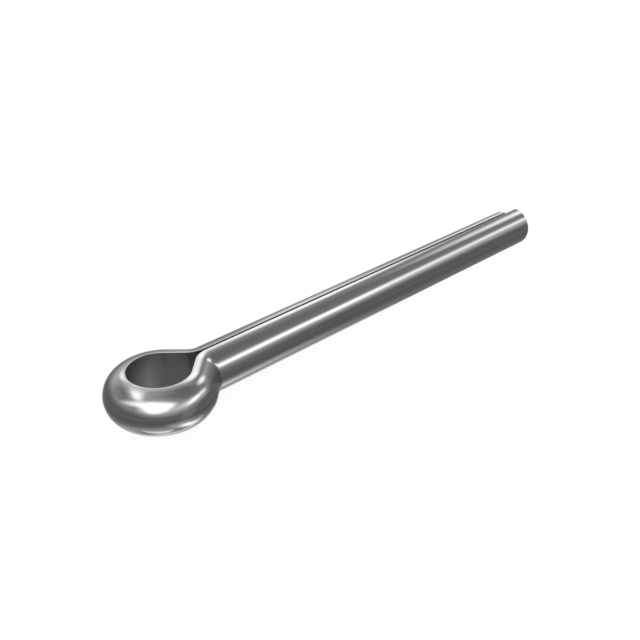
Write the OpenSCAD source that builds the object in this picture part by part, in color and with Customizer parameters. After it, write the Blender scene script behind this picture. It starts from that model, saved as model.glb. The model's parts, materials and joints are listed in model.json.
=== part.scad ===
// Cotter pin, or split pin: one length of half-round wire, folded back on itself round an
// open eye. The flats of its two prongs face each other and make one round shank, and one
// prong is a little longer, so that a tool can catch it and spread the pair.
//
// +X runs along the shank towards the tips, and +Z stands square to the plane of the eye.
// The origin is on the axis of the shank, where the prongs leave the necks of the eye.

/* [Shank] */
// Diameter of the round shank that the two prongs make together
shank_d = 5.8; // [4.5:0.1:7]
// Length of the shank, from the necks of the eye to the tip of the short prong
shank_length = 59.3; // [30:0.1:120]
// How far the long prong runs past the short one
tip_step = 2.4; // [0.5:0.1:6]
// Gap left between the flats of the two prongs
slit = 0.26; // [0.04:0.01:0.4]

/* [Eye] */
// Diameter of the round hole in the eye
eye_hole_d = 7.3; // [6:0.02:12]
// Turn of each neck, where the wire bends out of the shank towards the eye, in degrees
neck_turn = 43; // [40, 43, 44, 46, 47, 50]
// Radius of the crease that a neck leaves on the round side of the wire
crease_r = 0.25; // [0.05:0.01:1]

/* [Hidden] */
$fn = 96;
steel = [0.62, 0.63, 0.64];

// Half-round wire: its round side has the radius of the shank, and its flat lies half the
// slit away from the axis of the shank
shank_r = shank_d / 2;
wire_thickness = shank_r - slit / 2;

// Bend radii of the wire, both measured on its flat
eye_r = eye_hole_d / 2;
neck_r = wire_thickness + crease_r;

// Straight run of wire between the ring of the eye and a neck. It slopes in by neck_turn,
// and covers what is left between the ring and the slit once the neck has taken its share.
neck_share = neck_r * (1 - cos(neck_turn));
run_length = (eye_r * cos(neck_turn) - neck_share - slit / 2) / sin(neck_turn);

// Distance from the centre of the eye to the start of the shank
eye_reach = (eye_r + neck_r) * sin(neck_turn) + run_length * cos(neck_turn);

// Side of a block that is larger than the eye all round
block = 4 * (eye_r + shank_r);

// Section of the wire, with its flat on the Y axis and its round side towards +X
module wire_section() {
    intersection() {
        translate([-slit / 2, 0]) circle(r = shank_r);
        translate([0, -shank_r]) square([shank_r, shank_d]);
    }
}

// Straight wire from the origin along +X, with its flat facing -Y
module straight_wire(length) {
    rotate([90, 0, 90]) linear_extrude(height = length) wire_section();
}

// All that lies ahead of the YZ plane near the eye, which trims a bend off square
module block_ahead() {
    translate([0, -block / 2, -block / 2]) cube(block);
}

// Ring of the eye, about the origin: wire bent right round with its flat on the inside, and
// trimmed where the two straight runs leave it
module eye_ring() {
    difference() {
        rotate_extrude() translate([eye_r, 0]) wire_section();
        intersection_for(side = [-1, 1])
            rotate([0, 0, side * neck_turn]) block_ahead();
    }
}

// Neck, about the origin: wire bent with its flat on the outside, from the end of a run
// along +X until it has turned by neck_turn
module neck() {
    difference() {
        rotate_extrude(angle = 90, start = 270)
            translate([neck_r, 0]) mirror([1, 0]) wire_section();
        rotate([0, 0, neck_turn]) block_ahead();
    }
}

// The wire on the +Y side, past the ring: straight run, neck and prong
module prong(length) {
    rotate([0, 0, -neck_turn]) {
        translate([0, eye_r, 0]) straight_wire(run_length);
        translate([run_length, eye_r + neck_r, 0]) {
            neck();
            rotate([0, 0, neck_turn])
                translate([0, -neck_r, 0]) straight_wire(length);
        }
    }
}

module cotter_pin() {
    color(steel) translate([-eye_reach, 0, 0]) {
        eye_ring();
        prong(shank_length);
        mirror([0, 1, 0]) prong(shank_length + tip_step);
    }
}

cotter_pin();
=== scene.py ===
"""Cotter pin folded from half-round steel wire, dressed and lit in a plain pale studio."""
import json
import logging
import math
from collections.abc import Sequence
from dataclasses import dataclass
from enum import Enum
from typing import Any

import bpy
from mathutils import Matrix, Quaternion, Vector


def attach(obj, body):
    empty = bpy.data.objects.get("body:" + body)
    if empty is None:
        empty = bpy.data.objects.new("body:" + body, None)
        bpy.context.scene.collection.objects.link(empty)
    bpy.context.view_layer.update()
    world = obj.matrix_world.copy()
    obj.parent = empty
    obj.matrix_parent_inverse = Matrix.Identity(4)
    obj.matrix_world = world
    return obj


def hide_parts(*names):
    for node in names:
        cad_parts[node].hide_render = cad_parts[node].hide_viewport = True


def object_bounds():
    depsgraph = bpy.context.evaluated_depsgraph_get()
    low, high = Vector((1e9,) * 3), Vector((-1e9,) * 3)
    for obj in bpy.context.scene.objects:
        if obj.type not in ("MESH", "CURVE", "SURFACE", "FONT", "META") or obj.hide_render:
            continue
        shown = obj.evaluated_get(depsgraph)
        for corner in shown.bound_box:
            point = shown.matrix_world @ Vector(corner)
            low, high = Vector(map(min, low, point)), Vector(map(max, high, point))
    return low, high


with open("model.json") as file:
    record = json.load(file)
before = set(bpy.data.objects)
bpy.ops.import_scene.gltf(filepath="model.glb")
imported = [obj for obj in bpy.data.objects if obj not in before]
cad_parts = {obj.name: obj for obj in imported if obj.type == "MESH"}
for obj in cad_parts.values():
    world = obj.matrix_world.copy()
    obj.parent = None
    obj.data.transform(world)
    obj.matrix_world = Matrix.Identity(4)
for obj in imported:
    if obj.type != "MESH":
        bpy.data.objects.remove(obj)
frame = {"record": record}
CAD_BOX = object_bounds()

MM = 0.001
UM = 0.000001

Socket = bpy.types.NodeSocket
# What a number input takes: a plain value, or another node's output.
Feed = float | Socket

log = logging.getLogger("cotter_pin")


# ---------------------------------------------------------------- node helpers

class NodeSheet:
    """A node tree under construction, with short calls to add and join its nodes."""

    def __init__(self, tree: bpy.types.NodeTree) -> None:
        """Take the tree that is to be filled.

        Args:
            tree: The node tree.
        """
        self.tree = tree

    def add(self, kind: str, settings: dict[str, Any] | None = None,
            **sockets: Any) -> bpy.types.Node:
        """Add one node, set its options and feed its inputs.

        Args:
            kind: The node's type name.
            settings: Options of the node itself.
            **sockets: Input name, with underscores for spaces, to a value or an output socket.

        Returns:
            The new node.
        """
        node = self.tree.nodes.new(kind)
        for name, value in (settings or {}).items():
            setattr(node, name, value)
        for name, value in sockets.items():
            self.feed(node.inputs[name.replace("_", " ")], value)
        return node

    def feed(self, socket: Socket, value: Any) -> None:
        """Join an output to an input, or set the input's own value.

        Args:
            socket: The input to feed.
            value: An output socket, or a plain value.
        """
        if isinstance(value, Socket):
            self.tree.links.new(value, socket)
        else:
            socket.default_value = value

    def in_order(self, kind: str, operation: str, *values: Any) -> bpy.types.Node:
        """Add a maths node and feed its inputs in their order.

        Args:
            kind: The node's type name.
            operation: What it works out.
            *values: Its operands, as values or output sockets.

        Returns:
            The new node.
        """
        node = self.add(kind, {"operation": operation})
        for socket, value in zip(node.inputs, values):
            self.feed(socket, value)
        return node

    def math(self, operation: str, *values: Feed) -> Socket:
        """Add a Math node and return its output."""
        return self.in_order("ShaderNodeMath", operation, *values).outputs[0]

    def clamped(self, value: Feed, low: float, high: float) -> Socket:
        """Add a Clamp node and return its output."""
        return self.add("ShaderNodeClamp", Value=value, Min=low, Max=high).outputs[0]

    def vector(self, x: Feed = 0.0, y: Feed = 0.0, z: Feed = 0.0) -> Socket:
        """Add a Combine XYZ node and return its output."""
        return self.add("ShaderNodeCombineXYZ", X=x, Y=y, Z=z).outputs[0]


# ---------------------------------------------------------------- the wire

class Mark(Enum):
    """Values that the swept wire carries for its finish."""

    ALONG = "along_wire"
    SECTION = "place_in_section"
    FLAT = "inner_flat"


@dataclass
class FoldedWire:
    """Half-round wire folded round an open eye into two prongs, flat to flat.

    Lengths are in metres and angles in radians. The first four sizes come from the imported
    model, and the others are named here.

    Attributes:
        shank_radius: Radius of the round shank that the two prongs make together.
        short_prong: Length of the short prong, from the necks of the eye.
        long_prong: Length of the long prong, from the necks of the eye.
        half_width: Half the outer width of the eye.
        slit: Gap between the flats of the two prongs.
        neck_turn: Turn of each neck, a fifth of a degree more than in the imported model. That
            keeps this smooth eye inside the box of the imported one, which has facets.
        crease_radius: Radius of the crease that a neck leaves on the round side.
        edge_radius: Rounding along both edges of the flat.
        flat_margin: How far past the flat a face may lie and still belong to it, as a share
            of the edge radius.
        crisp_angle: An edge sharper than this stays crisp; the others are shaded smooth.
        weld_distance: Ends of two stretches that lie closer than this are one point.
        bend_step: Turn of one straight step of a bend.
        section_steps: Straight steps round the round side of the section.
        edge_steps: Straight steps round each rounded edge.
    """

    shank_radius: float
    short_prong: float
    long_prong: float
    half_width: float
    slit: float = 0.26 * MM
    neck_turn: float = math.radians(43.2)
    crease_radius: float = 0.25 * MM
    edge_radius: float = 0.05 * MM
    flat_margin: float = 0.01
    crisp_angle: float = math.radians(40.0)
    weld_distance: float = 0.001 * MM
    bend_step: float = math.radians(1.5)
    section_steps: int = 72
    edge_steps: int = 8

    @classmethod
    def from_frame(cls, record: dict[str, Any], box: Sequence[Vector]) -> "FoldedWire":
        """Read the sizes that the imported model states.

        Args:
            record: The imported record.
            box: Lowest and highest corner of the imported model.

        Returns:
            The wire's sizes.
        """
        shank = next(m for m in record["mounts"] if m["name"] == "shank")["dims"]
        return cls(
            shank_radius=shank["r_mm"] * MM,
            short_prong=shank["length_mm"] * MM,
            long_prong=box[1].x,
            half_width=box[1].y,
        )

    @property
    def thickness(self) -> float:
        """Thickness of the wire, from its flat to the top of its round side."""
        return self.shank_radius - self.slit / 2

    @property
    def eye_radius(self) -> float:
        """Bend radius of the eye's ring, on the flat of the wire."""
        return self.half_width - self.thickness

    @property
    def neck_radius(self) -> float:
        """Bend radius of a neck, on the flat of the wire."""
        return self.thickness + self.crease_radius

    @property
    def run_length(self) -> float:
        """Straight run of wire between the eye's ring and a neck.

        Returns:
            The length that is left once the neck has taken its share of the way in.
        """
        neck_share = self.neck_radius * (1 - math.cos(self.neck_turn))
        left = self.eye_radius * math.cos(self.neck_turn) - neck_share - self.slit / 2
        return left / math.sin(self.neck_turn)

    @property
    def eye_reach(self) -> float:
        """Distance from the start of the shank back to the centre of the eye."""
        bends = (self.eye_radius + self.neck_radius) * math.sin(self.neck_turn)
        return bends + self.run_length * math.cos(self.neck_turn)

    @property
    def edge_height(self) -> float:
        """Height of the centre of the rounding along an edge of the flat."""
        out = self.edge_radius + self.slit / 2
        return math.sqrt((self.shank_radius - self.edge_radius) ** 2 - out ** 2)

    @property
    def edge_turn(self) -> float:
        """Angle through which the rounding turns, from the flat to the round side."""
        return math.atan2(self.edge_height, -(self.edge_radius + self.slit / 2))

    @property
    def inputs(self) -> dict[str, float]:
        """Sizes that the node tree takes, by the names of its inputs."""
        return {
            "Shank radius": self.shank_radius,
            "Half slit": self.slit / 2,
            "Eye radius": self.eye_radius,
            "Eye reach": self.eye_reach,
            "Neck radius": self.neck_radius,
            "Neck turn": self.neck_turn,
            "Run length": self.run_length,
            "Short prong": self.short_prong,
            "Long prong": self.long_prong,
            "Edge radius": self.edge_radius,
            "Edge height": self.edge_height,
            "Edge turn": self.edge_turn,
        }

    def build(self, material: bpy.types.Material) -> bpy.types.Object:
        """Sweep the section along the folded line and return it as a plain mesh piece.

        Args:
            material: The finish of the wire.

        Returns:
            The finished piece, with its place in its mesh.
        """
        carrier = bpy.data.objects.new("wire_carrier", bpy.data.meshes.new("wire_carrier"))
        bpy.context.scene.collection.objects.link(carrier)
        modifier = carrier.modifiers.new("folded_wire", "NODES")
        modifier.node_group = self.sweep_tree()
        values = {**self.inputs, "Finish": material}
        for item in modifier.node_group.interface.items_tree:
            if item.item_type == "SOCKET" and item.in_out == "INPUT":
                modifier[item.identifier] = values[item.name]
        graph = bpy.context.evaluated_depsgraph_get()
        mesh = bpy.data.meshes.new_from_object(carrier.evaluated_get(graph))
        bpy.data.objects.remove(carrier)
        mesh.name = "pin_wire"
        piece = bpy.data.objects.new("pin_wire", mesh)
        bpy.context.scene.collection.objects.link(piece)
        return piece

    def sweep_tree(self) -> bpy.types.NodeTree:
        """Build the Geometry Nodes tree that folds and sweeps the wire.

        Returns:
            The node tree, with a named input for each size.
        """
        tree = bpy.data.node_groups.new("folded_wire", "GeometryNodeTree")
        for name in self.inputs:
            tree.interface.new_socket(name, in_out="INPUT", socket_type="NodeSocketFloat")
        tree.interface.new_socket("Finish", in_out="INPUT", socket_type="NodeSocketMaterial")
        tree.interface.new_socket("Wire", in_out="OUTPUT", socket_type="NodeSocketGeometry")
        sheet = NodeSheet(tree)
        size = sheet.add("NodeGroupInput").outputs
        short_side = self.half_line(sheet, size, size["Short prong"])
        long_side = self.half_line(sheet, size, size["Long prong"])
        mirrored = sheet.add("GeometryNodeTransform", Geometry=long_side, Scale=(1, -1, 1))
        line = self.one_spline(sheet, [mirrored.outputs[0], short_side])
        upright = sheet.add("GeometryNodeSetCurveNormal", {"mode": "Z_UP"}, Curve=line)
        marked_line = self.mark(sheet, upright.outputs[0], Mark.ALONG,
                                sheet.add("GeometryNodeSplineParameter").outputs["Length"])
        marked_section = self.mark(sheet, self.section(sheet, size), Mark.SECTION,
                                   sheet.add("GeometryNodeInputPosition").outputs[0])
        swept = sheet.add("GeometryNodeCurveToMesh", Curve=marked_line,
                          Profile_Curve=marked_section, Fill_Caps=True)
        marked = self.mark(sheet, swept.outputs[0], Mark.FLAT, self.on_flat(sheet))
        smooth = sheet.add("GeometryNodeSetShadeSmooth", {"domain": "FACE"}, Geometry=marked)
        bend = sheet.add("GeometryNodeInputMeshEdgeAngle").outputs[0]
        creased = sheet.add("GeometryNodeSetShadeSmooth", {"domain": "EDGE"},
                            Geometry=smooth.outputs[0], Shade_Smooth=False,
                            Selection=sheet.math("GREATER_THAN", bend, self.crisp_angle))
        real = sheet.add("GeometryNodeRealizeInstances", Geometry=creased.outputs[0])
        dressed = sheet.add("GeometryNodeSetMaterial", Geometry=real.outputs[0],
                            Material=size["Finish"])
        sheet.add("NodeGroupOutput", Wire=dressed.outputs[0])
        return tree

    def half_line(self, sheet: NodeSheet, size: Any, prong: Socket) -> Socket:
        """Lay out the line of the flat on the +Y side, from the tip to the far end of the eye.

        Args:
            sheet: The tree to add to.
            size: The tree's own inputs, by name.
            prong: Length of this side's prong.

        Returns:
            The stretches of the line, joined as separate splines.
        """
        turn = size["Neck turn"]
        eye = sheet.vector(sheet.math("MULTIPLY", size["Eye reach"], -1.0))
        straight = sheet.add("GeometryNodeCurvePrimitiveLine",
                             Start=sheet.vector(prong, size["Half slit"]),
                             End=sheet.vector(0.0, size["Half slit"]))
        neck_centre = sheet.math("ADD", size["Half slit"], size["Neck radius"])
        neck = self.arc(sheet, size["Neck radius"],
                        sheet.math("SUBTRACT", 1.5 * math.pi, turn), turn,
                        sheet.vector(0.0, neck_centre), self.steps(self.neck_turn))
        run = sheet.add("GeometryNodeCurvePrimitiveLine",
                        Start=sheet.vector(0.0, size["Eye radius"]),
                        End=sheet.vector(size["Run length"], size["Eye radius"]))
        laid_run = sheet.add("GeometryNodeTransform", Geometry=run.outputs[0], Translation=eye,
                             Rotation=sheet.vector(z=sheet.math("MULTIPLY", turn, -1.0)))
        ring = self.arc(sheet, size["Eye radius"],
                        sheet.math("SUBTRACT", math.pi / 2, turn),
                        sheet.math("ADD", math.pi / 2, turn), eye,
                        self.steps(math.pi / 2 + self.neck_turn))
        return self.join(sheet, [straight.outputs[0], neck, laid_run.outputs[0], ring])

    def section(self, sheet: NodeSheet, size: Any) -> Socket:
        """Draw the closed section of the wire: round side, two rounded edges and the flat.

        The flat has a narrow strip along each edge, which keeps its middle shaded flat.

        Args:
            sheet: The tree to add to.
            size: The tree's own inputs, by name.

        Returns:
            The section as one closed spline, with the flat on its Y axis.
        """
        radius, turn = size["Edge radius"], size["Edge turn"]
        top = size["Edge height"]
        foot = sheet.math("MULTIPLY", top, -1.0)
        inward = sheet.math("MULTIPLY", radius, -1.0)
        round_turn = sheet.math("SUBTRACT", 2 * math.pi, sheet.math("MULTIPLY", turn, 2.0))
        round_side = self.arc(sheet, size["Shank radius"], turn, round_turn,
                              sheet.vector(size["Half slit"]), self.section_steps)
        top_edge = self.arc(sheet, radius, 0.0, turn, sheet.vector(inward, top),
                            self.edge_steps)
        foot_edge = self.arc(sheet, radius, sheet.math("SUBTRACT", 2 * math.pi, turn), turn,
                             sheet.vector(inward, foot), self.edge_steps)
        stops = (foot, sheet.math("ADD", foot, radius),
                 sheet.math("SUBTRACT", top, radius), top)
        flat = [sheet.add("GeometryNodeCurvePrimitiveLine", Start=sheet.vector(0.0, low),
                          End=sheet.vector(0.0, high)).outputs[0]
                for low, high in zip(stops, stops[1:])]
        return self.one_spline(sheet, [top_edge, round_side, foot_edge, *flat])

    def on_flat(self, sheet: NodeSheet) -> Socket:
        """Find the faces that lie on the flat of the wire.

        Args:
            sheet: The tree to add to.

        Returns:
            Socket with 1 on those faces and 0 on the others.
        """
        place = sheet.add("GeometryNodeInputNamedAttribute", {"data_type": "FLOAT_VECTOR"},
                          Name=Mark.SECTION.value).outputs["Attribute"]
        depth = sheet.add("ShaderNodeSeparateXYZ", Vector=place).outputs["X"]
        return sheet.math("GREATER_THAN", depth, -self.flat_margin * self.edge_radius)

    def steps(self, turn: float) -> int:
        """Number of straight steps that draw a bend of this angle."""
        return math.ceil(turn / self.bend_step)

    @staticmethod
    def arc(sheet: NodeSheet, radius: Feed, start: Feed, turn: Feed, centre: Socket,
            steps: int) -> Socket:
        """Add a placed arc in the XY plane.

        Args:
            sheet: The tree to add to.
            radius: Radius of the arc.
            start: Angle of its first point from +X.
            turn: Angle that it covers.
            centre: Where its centre lies.
            steps: How many straight steps draw it.

        Returns:
            The arc's geometry socket.
        """
        drawn = sheet.add("GeometryNodeCurveArc", {"mode": "RADIUS"}, Resolution=steps + 1,
                          Radius=radius, Start_Angle=start, Sweep_Angle=turn)
        return sheet.add("GeometryNodeTransform", Geometry=drawn.outputs[0],
                         Translation=centre).outputs[0]

    @staticmethod
    def mark(sheet: NodeSheet, shape: Socket, mark: Mark, value: Socket) -> Socket:
        """Store a mark on a shape, for the finish to read.

        Args:
            sheet: The tree to add to.
            shape: The geometry that takes the mark.
            mark: Which mark it is.
            value: Its value at each place.

        Returns:
            The marked geometry.
        """
        kind = "FLOAT_VECTOR" if mark is Mark.SECTION else "FLOAT"
        domain = "FACE" if mark is Mark.FLAT else "POINT"
        return sheet.add("GeometryNodeStoreNamedAttribute",
                         {"data_type": kind, "domain": domain},
                         Geometry=shape, Name=mark.value, Value=value).outputs[0]

    @staticmethod
    def join(sheet: NodeSheet, parts: Sequence[Socket]) -> Socket:
        """Join shapes into one.

        Args:
            sheet: The tree to add to.
            parts: The shapes' geometry sockets, in the order that they keep.

        Returns:
            The joined geometry.
        """
        node = sheet.add("GeometryNodeJoinGeometry")
        # An input that takes many links puts the last one first.
        for part in reversed(parts):
            sheet.feed(node.inputs[0], part)
        return node.outputs[0]

    def one_spline(self, sheet: NodeSheet, parts: Sequence[Socket]) -> Socket:
        """Weld stretches that meet end to end into one spline.

        Args:
            sheet: The tree to add to.
            parts: The stretches, the one with the spline's first point first.

        Returns:
            The welded spline.
        """
        edges = sheet.add("GeometryNodeCurveToMesh", Curve=self.join(sheet, parts))
        welded = sheet.add("GeometryNodeMergeByDistance", Geometry=edges.outputs[0],
                           Distance=self.weld_distance)
        return sheet.add("GeometryNodeMeshToCurve", Mesh=welded.outputs[0]).outputs[0]


# ---------------------------------------------------------------- finishes

@dataclass(frozen=True)
class DrawnSteel:
    """Bright drawn steel wire: polished round side, satin rolled flat, fine lines along it.

    Attributes:
        colour: Grey of the round side.
        painted_shade_flat_colour: Grey of the flat, kept darker as painted shade in the slit and
            inside the eye.
        roughness: Roughness of the round side.
        flat_roughness: Roughness of the flat.
        colour_spread: How far the drawing lines push the grey up and down.
        roughness_spread: How far they push the roughness up and down.
        line_width: Width of the widest drawing lines.
        line_stretch: How many times as long as wide a line is.
        line_depth: Depth of the lines on the round side.
        flat_line_depth: Depth of the lines on the flat.
        line_detail: How many times the lines are split into finer ones.
        line_roughness: Strength of each finer set of lines, as a share of the last.
        line_gain: Brings the lines' noise, which lies mostly within a quarter of its middle,
            to between -1 and 1.
    """

    colour: float = 0.45
    # The flat is greyer than the round side as painted shade, which darkens the slit between the
    # prongs and the inner wall of the eye.
    painted_shade_flat_colour: float = 0.4
    roughness: float = 0.08
    flat_roughness: float = 0.28
    colour_spread: float = 0.02
    roughness_spread: float = 0.03
    line_width: float = 0.25 * MM
    line_stretch: float = 80.0
    line_depth: float = 3.0 * UM
    flat_line_depth: float = 0.2 * UM
    line_detail: float = 3.0
    line_roughness: float = 0.6
    line_gain: float = 4.0

    def make(self) -> bpy.types.Material:
        """Build the material.

        Returns:
            The finish as a node material.
        """
        material = bpy.data.materials.new("drawn_steel")
        material.use_nodes = True
        sheet = NodeSheet(material.node_tree)
        shader = material.node_tree.nodes["Principled BSDF"]
        shader.inputs["Metallic"].default_value = 1.0
        lines = self.lines(sheet)
        flat = self.mark(sheet, Mark.FLAT).outputs["Fac"]
        # The flat's darker grey is painted shade for the slit and the inside of the eye.
        colour = self.varied(sheet, flat, lines, (self.colour, self.painted_shade_flat_colour),
                             self.colour_spread)
        grey = sheet.add("ShaderNodeCombineColor", Red=colour, Green=colour, Blue=colour)
        sheet.feed(shader.inputs["Base Color"], grey.outputs[0])
        roughness = self.varied(sheet, flat, lines, (self.roughness, self.flat_roughness),
                                self.roughness_spread)
        sheet.feed(shader.inputs["Roughness"], roughness)
        depth = self.by_side(sheet, flat, (self.line_depth, self.flat_line_depth))
        bump = sheet.add("ShaderNodeBump", Distance=depth, Height=lines)
        sheet.feed(shader.inputs["Normal"], bump.outputs[0])
        return material

    def lines(self, sheet: NodeSheet) -> Socket:
        """Add the drawing lines: noise over the wire's section, drawn out along the wire.

        Args:
            sheet: The material's tree.

        Returns:
            Socket with a value about 0.5 that changes from line to line.
        """
        place = self.mark(sheet, Mark.SECTION).outputs["Vector"]
        along = self.mark(sheet, Mark.ALONG).outputs["Fac"]
        drawn_out = sheet.vector(z=sheet.math("DIVIDE", along, self.line_stretch))
        drawn = sheet.in_order("ShaderNodeVectorMath", "ADD", place, drawn_out)
        return sheet.add("ShaderNodeTexNoise", Vector=drawn.outputs[0],
                         Scale=1 / self.line_width, Detail=self.line_detail,
                         Roughness=self.line_roughness).outputs["Fac"]

    def varied(self, sheet: NodeSheet, flat: Socket, lines: Socket,
               levels: tuple[float, float], spread: float) -> Socket:
        """Add a value that differs between round side and flat and varies with the lines.

        Args:
            sheet: The material's tree.
            flat: Socket with 1 on the flat and 0 elsewhere.
            lines: Socket with the drawing lines.
            levels: Value on the round side and on the flat.
            spread: How far the lines push the value up and down.

        Returns:
            Socket with the value.
        """
        swing = sheet.math("MULTIPLY_ADD", lines, self.line_gain * spread,
                           -self.line_gain / 2 * spread)
        return sheet.math("ADD", self.by_side(sheet, flat, levels), swing)

    @staticmethod
    def by_side(sheet: NodeSheet, flat: Socket, levels: tuple[float, float]) -> Socket:
        """Add a value that differs between the round side and the flat.

        Args:
            sheet: The material's tree.
            flat: Socket with 1 on the flat and 0 elsewhere.
            levels: Value on the round side and on the flat.

        Returns:
            Socket with the value.
        """
        return sheet.math("MULTIPLY_ADD", flat, levels[1] - levels[0], levels[0])

    @staticmethod
    def mark(sheet: NodeSheet, mark: Mark) -> bpy.types.Node:
        """Add a node that reads one of the wire's marks."""
        return sheet.add("ShaderNodeAttribute", {"attribute_name": mark.value})


# ---------------------------------------------------------------- studio

class Window(Enum):
    """Outline of a soft light, as the metal mirrors it."""

    BOX = "box"
    ROUND = "round"


@dataclass(frozen=True)
class SoftLight:
    """A soft light far off in the studio, seen as a window of light in the metal.

    Angles are in degrees. Both half sizes run to the middle of the soft edge.

    Attributes:
        name: What it is for.
        window: Its outline.
        azimuth: Its direction, turned from +X towards +Y.
        elevation: Its height above the horizon.
        half_width: Half its width.
        half_height: Half its height.
        strength: Its level, where 1 is plain white.
        roll: How far it is turned about its own direction.
        softness: Share of a half size over which it fades out, inwards and outwards.
        taper: How much wider than its middle its upper end is, as a share.
    """

    name: str
    window: Window
    azimuth: float
    elevation: float
    half_width: float
    half_height: float
    strength: float
    roll: float = 0.0
    softness: float = 1.0
    taper: float = 0.0

    def axes(self) -> tuple[Vector, Vector, Vector]:
        """Work out the light's own directions.

        Returns:
            Unit vectors towards the light, across it and up it.
        """
        around, above = math.radians(self.azimuth), math.radians(self.elevation)
        centre = Vector((math.cos(above) * math.cos(around),
                         math.cos(above) * math.sin(around), math.sin(above)))
        across = Vector((-math.sin(around), math.cos(around), 0.0))
        up = centre.cross(across)
        turn = math.radians(self.roll)
        return (centre, across * math.cos(turn) + up * math.sin(turn),
                up * math.cos(turn) - across * math.sin(turn))

    def glow(self, sheet: NodeSheet, direction: Socket) -> Socket:
        """Add the nodes that give the light's strength in a direction.

        Args:
            sheet: The world's tree.
            direction: Socket with the direction looked along.

        Returns:
            Socket with the strength.
        """
        # A direction is ahead of the light from this cosine on, and the taper goes on to
        # this many half heights from the middle.
        ahead_from, taper_reach = 0.05, 1.3
        ahead, across, up = (self.along(sheet, direction, axis) for axis in self.axes())
        depth = sheet.math("MAXIMUM", ahead, ahead_from)
        tall = math.tan(math.radians(self.half_height))
        wide = math.tan(math.radians(self.half_width))
        v = sheet.math("DIVIDE", sheet.math("DIVIDE", up, depth), tall)
        tapered = sheet.math("MULTIPLY_ADD", sheet.clamped(v, -taper_reach, taper_reach),
                             self.taper * wide, wide)
        u = sheet.math("DIVIDE", sheet.math("DIVIDE", across, depth), tapered)
        if self.window is Window.BOX:
            shape = sheet.math("MULTIPLY", self.fade(sheet, u), self.fade(sheet, v))
        else:
            square = sheet.math("MULTIPLY_ADD", u, u, sheet.math("MULTIPLY", v, v))
            shape = self.fade(sheet, sheet.math("SQRT", square))
        in_front = sheet.math("GREATER_THAN", ahead, ahead_from)
        return sheet.math("MULTIPLY", sheet.math("MULTIPLY", shape, in_front), self.strength)

    def fade(self, sheet: NodeSheet, share: Socket) -> Socket:
        """Fade from 1 inside the window to 0 outside it.

        Args:
            sheet: The world's tree.
            share: Socket with the distance from the middle, as a share of the half size.

        Returns:
            Socket with the faded level.
        """
        return sheet.add("ShaderNodeMapRange", {"interpolation_type": "SMOOTHSTEP"},
                         Value=sheet.math("ABSOLUTE", share), From_Min=1 + self.softness,
                         From_Max=1 - self.softness).outputs[0]

    @staticmethod
    def along(sheet: NodeSheet, direction: Socket, axis: Vector) -> Socket:
        """Add a dot product of a direction with a fixed axis."""
        node = sheet.in_order("ShaderNodeVectorMath", "DOT_PRODUCT", direction, axis)
        return node.outputs["Value"]


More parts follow.
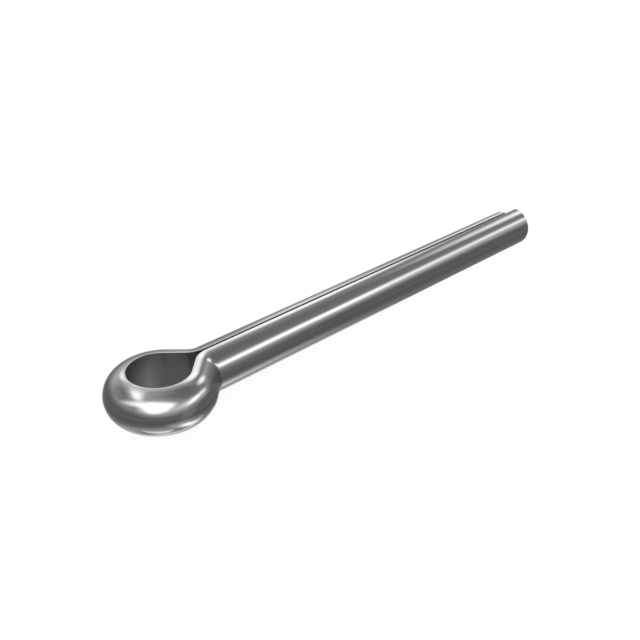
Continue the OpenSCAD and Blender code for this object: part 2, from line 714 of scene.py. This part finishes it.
@dataclass
class Studio:
    """A dim studio with soft lights, round a sheet of white paper that the pin lies on.

    Attributes:
        floor_level: Height of the paper.
        floor_size: Side of the paper.
        floor_shade: Grey of the paper, which is kept dark so that the shadow stays faint.
        floor_glow: Light of its own that makes the paper white.
        lights: Soft lights that the metal mirrors.
        walls: Level of the surroundings at each elevation, from the floor to the ceiling.
    """

    floor_level: float
    floor_size: float = 4.0
    floor_shade: float = 0.06
    floor_glow: float = 0.95
    lights: tuple[SoftLight, ...] = (
        SoftLight("key", Window.BOX, -135, 34, 24, 15, 1.5, roll=15, softness=0.6, taper=0.3),
        SoftLight("key top", Window.BOX, -135, 54, 24, 11, 1.5, roll=-10, softness=0.7),
        SoftLight("key wing", Window.BOX, 175, 43, 20, 8, 1.6, roll=20, taper=-0.3),
        SoftLight("key haze", Window.ROUND, -120, 38, 38, 30, 0.5, taper=-0.3),
        SoftLight("strip", Window.BOX, -51, 27, 16, 5, 1.6, roll=5),
        SoftLight("strip end", Window.ROUND, -24, 23, 8, 5, 1.0, roll=-30, softness=0.8),
        SoftLight("strip haze", Window.ROUND, -55, 28, 28, 10, 0.5, roll=-15, taper=-0.6),
        SoftLight("spot left", Window.ROUND, 7, 34, 6, 9, 1.8, roll=40),
        SoftLight("spot middle", Window.ROUND, 39, 38, 8, 8, 1.5, roll=-40, softness=0.7,
                  taper=0.2),
        SoftLight("spot right", Window.ROUND, 73, 31, 5, 5, 1.1),
        SoftLight("high strip", Window.BOX, 121, 62, 20, 6, 1.7, roll=5),
        SoftLight("post left", Window.BOX, 46, 24, 4, 30, 0.9, roll=-40, softness=0.8,
                  taper=-0.9),
        SoftLight("post right", Window.BOX, 51, 14, 3, 8, 0.7, softness=0.8, taper=-0.4),
        SoftLight("low bounce", Window.ROUND, -56, -59, 12, 6, 1.8, roll=-10),
        SoftLight("low haze", Window.ROUND, -85, -49, 17, 10, 0.4, taper=0.3),
        SoftLight("low tail", Window.ROUND, -26, -58, 15, 8, 0.4, roll=-60, softness=0.6,
                  taper=-0.3),
        SoftLight("low bounce far", Window.ROUND, 48, -74, 17, 8, 0.8, roll=15, softness=0.8,
                  taper=0.5),
        SoftLight("column", Window.BOX, -70, 4, 15, 44, 0.1, roll=-20, softness=0.4, taper=0.4),
        SoftLight("ceiling", Window.ROUND, 155, 66, 60, 23, 0.4, roll=-15, taper=0.9),
        SoftLight("side haze", Window.ROUND, 65, 36, 16, 34, 0.4, roll=50, taper=-0.3),
        SoftLight("low left", Window.ROUND, -154, -78, 16, 8, 0.9, roll=-15, softness=0.2,
                  taper=0.3),
        SoftLight("backdrop", Window.BOX, 55, -26, 46, 22, 0.2, roll=-60, taper=0.9),
        SoftLight("low middle", Window.ROUND, 46, -46, 18, 8, 0.5, roll=10, softness=0.2),
    )
    walls: tuple[tuple[float, float], ...] = (
        (-90, 0.9), (-75, 0.36), (-60, 0.56), (-45, 0.26), (-30, 0.18), (-15, 0.22), (0, 0.2),
        (10, 0.32), (20, 0.5), (30, 0.4), (45, 0.3), (60, 0.26), (75, 0.3), (90, 0.24),
    )

    def lay_floor(self) -> bpy.types.Object:
        """Lay the sheet of white paper under the pin.

        Returns:
            The floor object.
        """
        bpy.ops.mesh.primitive_plane_add(size=self.floor_size, location=(0, 0, self.floor_level))
        floor = bpy.context.object
        floor.name = "floor"
        material = bpy.data.materials.new("floor_paper")
        material.use_nodes = True
        shader = material.node_tree.nodes["Principled BSDF"]
        shade = self.floor_shade
        shader.inputs["Base Color"].default_value = (shade, shade, shade, 1)
        shader.inputs["Roughness"].default_value = 1.0
        shader.inputs["Specular IOR Level"].default_value = 0.0
        shader.inputs["Emission Color"].default_value = (1, 1, 1, 1)
        shader.inputs["Emission Strength"].default_value = self.floor_glow
        floor.data.materials.append(material)
        # The metal mirrors the dim studio from below too, and not the white paper.
        floor.visible_glossy = False
        return floor

    def light(self) -> None:
        """Light the set: plain white all round, with the dim studio in the metal only."""
        world = bpy.data.worlds.new("studio")
        bpy.context.scene.world = world
        world.use_nodes = True
        world.node_tree.nodes.clear()
        sheet = NodeSheet(world.node_tree)
        direction = sheet.add("ShaderNodeTexCoord").outputs["Generated"]
        level = self.wall_level(sheet, direction)
        for light in self.lights:
            level = sheet.math("ADD", level, light.glow(sheet, direction))
        path = sheet.add("ShaderNodeLightPath").outputs
        white = sheet.add("ShaderNodeBackground", Color=(1, 1, 1, 1), Strength=1.0)
        dim = sheet.add("ShaderNodeBackground", Color=(1, 1, 1, 1), Strength=level)
        shown = sheet.add("ShaderNodeMixShader", Fac=path["Is Glossy Ray"])
        sheet.feed(shown.inputs[1], white.outputs[0])
        sheet.feed(shown.inputs[2], dim.outputs[0])
        sheet.add("ShaderNodeOutputWorld", Surface=shown.outputs[0])

    def wall_level(self, sheet: NodeSheet, direction: Socket) -> Socket:
        """Add the level of the walls, which changes with the elevation only.

        Args:
            sheet: The world's tree.
            direction: Socket with the direction looked along.

        Returns:
            Socket with the level.
        """
        height = sheet.add("ShaderNodeSeparateXYZ", Vector=direction).outputs["Z"]
        share = sheet.math("MULTIPLY_ADD", sheet.math("ARCSINE", height), 1 / math.pi, 0.5)
        ramp = sheet.add("ShaderNodeValToRGB", Fac=share)
        stops = ramp.color_ramp.elements
        given = len(stops)
        for index, (elevation, level) in enumerate(self.walls):
            place = elevation / 180 + 0.5
            stop = stops[index] if index < given else stops.new(place)
            stop.position = place
            stop.color = (level, level, level, 1)
        return ramp.outputs["Color"]


@dataclass(frozen=True)
class ViewPoint:
    """Where the camera stands. Angles are in degrees and lengths in metres.

    Attributes:
        azimuth: Turn about +Z, from a view along +Y.
        elevation: Height of the camera above the horizon, seen from the aim.
        roll: Turn of the camera about its own line of sight.
        distance: Distance from the camera to the aim.
        aim: Point that the camera looks at.
        lens: Focal length in millimetres.
        sensor: Width of the sensor in millimetres.
        clip: Nearest and farthest distance that it sees.
    """

    azimuth: float = -44.76
    elevation: float = 29.1
    roll: float = 0.295
    distance: float = 0.11238
    aim: tuple[float, float, float] = (0.01789, -0.00066, 0.0)
    lens: float = 49.27
    sensor: float = 36.0
    clip: tuple[float, float] = (0.005, 20.0)

    def place(self) -> bpy.types.Object:
        """Make the camera and point it at the pin.

        Returns:
            The camera.
        """
        camera = bpy.data.objects.new("camera", bpy.data.cameras.new("camera"))
        bpy.context.scene.collection.objects.link(camera)
        around, above = math.radians(self.azimuth), math.radians(self.elevation)
        back = Vector((math.sin(around) * math.cos(above),
                       -math.cos(around) * math.cos(above), math.sin(above)))
        camera.location = Vector(self.aim) + back * self.distance
        camera.rotation_mode = "QUATERNION"
        level = (-back).to_track_quat("-Z", "Y")
        camera.rotation_quaternion = level @ Quaternion((0, 0, 1), math.radians(self.roll))
        camera.data.lens = self.lens
        camera.data.sensor_width = self.sensor
        camera.data.clip_start, camera.data.clip_end = self.clip
        bpy.context.scene.camera = camera
        return camera


def main() -> None:
    """Build the pin and its studio, and report each piece."""
    logging.basicConfig(level=logging.INFO, format="%(name)s: %(message)s")
    wire = FoldedWire.from_frame(frame["record"], CAD_BOX)
    piece = wire.build(DrawnSteel().make())
    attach(piece, "root")
    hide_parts("cotter_pin")
    log.info("%s: %d faces, eye radius %.3f mm, run %.3f mm, reach %.3f mm", piece.name,
             len(piece.data.polygons), wire.eye_radius / MM, wire.run_length / MM,
             wire.eye_reach / MM)
    studio = Studio(floor_level=CAD_BOX[0].z)
    floor = studio.lay_floor()
    studio.light()
    camera = ViewPoint().place()
    log.info("%s at %.2f mm, %d soft lights, %s with a %.1f mm lens", floor.name,
             studio.floor_level / MM, len(studio.lights), camera.name, camera.data.lens)
    bpy.context.scene.view_settings.view_transform = "Standard"


if __name__ == "__main__":
    main()
